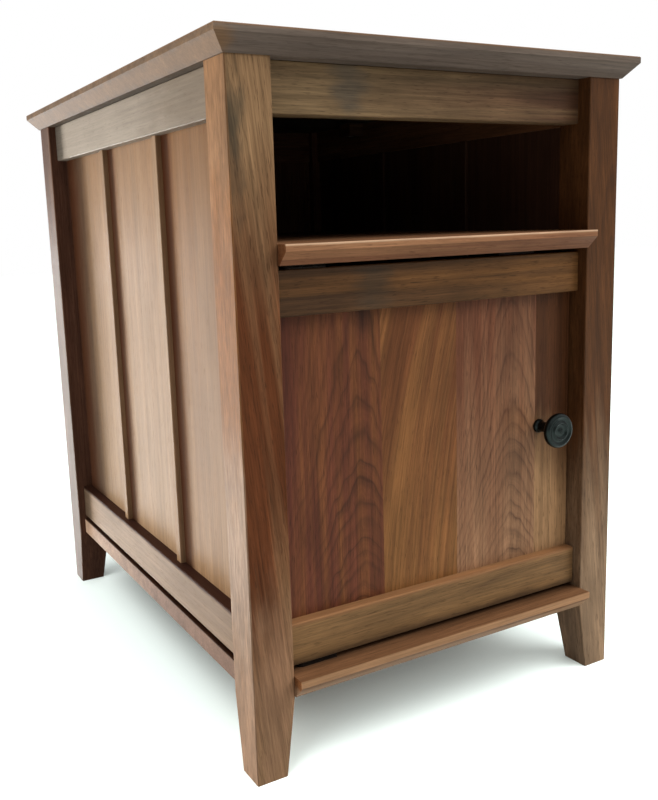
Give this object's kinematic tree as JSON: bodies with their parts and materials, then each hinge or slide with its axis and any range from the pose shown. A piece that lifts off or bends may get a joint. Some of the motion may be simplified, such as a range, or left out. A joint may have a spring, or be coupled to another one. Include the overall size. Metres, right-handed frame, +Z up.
{
  "type": "storage side table",
  "caption": "Walnut side table with tapered legs, panelled sides, an open cubby under a bevelled top and a hinged cabinet door with a round metal knob below.",
  "frame": {"origin": "on the floor, under the middle of the top", "axes": "+Z up, -Y towards the front with the door, +X to the right seen from the front"},
  "size_m": [0.454, 0.611, 0.635],
  "materials": {
    "walnut": "satin oiled",
    "hidden_wood": "plain sanded",
    "zinc_steel": "zinc plated",
    "dark_metal": "blackened, soft sheen",
    "catch_plastic": "matte",
    "magnet": "ground"
  },
  "bodies": {
    "cabinet": {"back_left_leg": "walnut", "back_low_rail": "walnut", "back_panel": "walnut", "back_right_leg": "walnut", "back_top_rail": "walnut", "bottom_back_cleat": "hidden_wood", "bottom_board": "walnut", "bottom_cleat_screws": "zinc_steel", "bottom_left_cleat": "hidden_wood", "bottom_right_cleat": "hidden_wood", "catch_housing": "catch_plastic", "catch_magnet": "magnet", "catch_screws": "zinc_steel", "front_left_leg": "walnut", "front_rail": "walnut", "front_right_leg": "walnut", "hinge_bottom_case_leaf": "dark_metal", "hinge_bottom_pin": "dark_metal", "hinge_bottom_washer": "dark_metal", "hinge_case_screws": "zinc_steel", "hinge_top_case_leaf": "dark_metal", "hinge_top_pin": "dark_metal", "left_back_muntin": "walnut", "left_back_panel": "walnut", "left_front_muntin": "walnut", "left_front_panel": "walnut", "left_low_rail": "walnut", "left_middle_panel": "walnut", "left_top_rail": "walnut", "right_back_muntin": "walnut", "right_back_panel": "walnut", "right_front_muntin": "walnut", "right_front_panel": "walnut", "right_low_rail": "walnut", "right_middle_panel": "walnut", "right_top_rail": "walnut", "shelf": "walnut", "top": "walnut", "top_button_screws": "zinc_steel", "top_buttons": "hidden_wood"},
    "door": {"door_bottom_rail": "walnut", "door_first_board": "walnut", "door_fourth_board": "walnut", "door_second_board": "walnut", "door_third_board": "walnut", "door_top_rail": "walnut", "hinge_bottom_door_leaf": "dark_metal", "hinge_door_screws": "zinc_steel", "hinge_top_door_leaf": "dark_metal", "hinge_top_washer": "dark_metal", "knob": "dark_metal", "knob_screw": "zinc_steel", "strike_plate": "zinc_steel", "strike_screws": "zinc_steel"}
  },
  "joints": [
    {"name": "door_hinge", "type": "hinge", "parent": "cabinet", "child": "door", "pos_m": [-0.1579, -0.276, 0.2725], "axis": [0, 0, -1], "range_deg": [0, 110]}
  ]
}
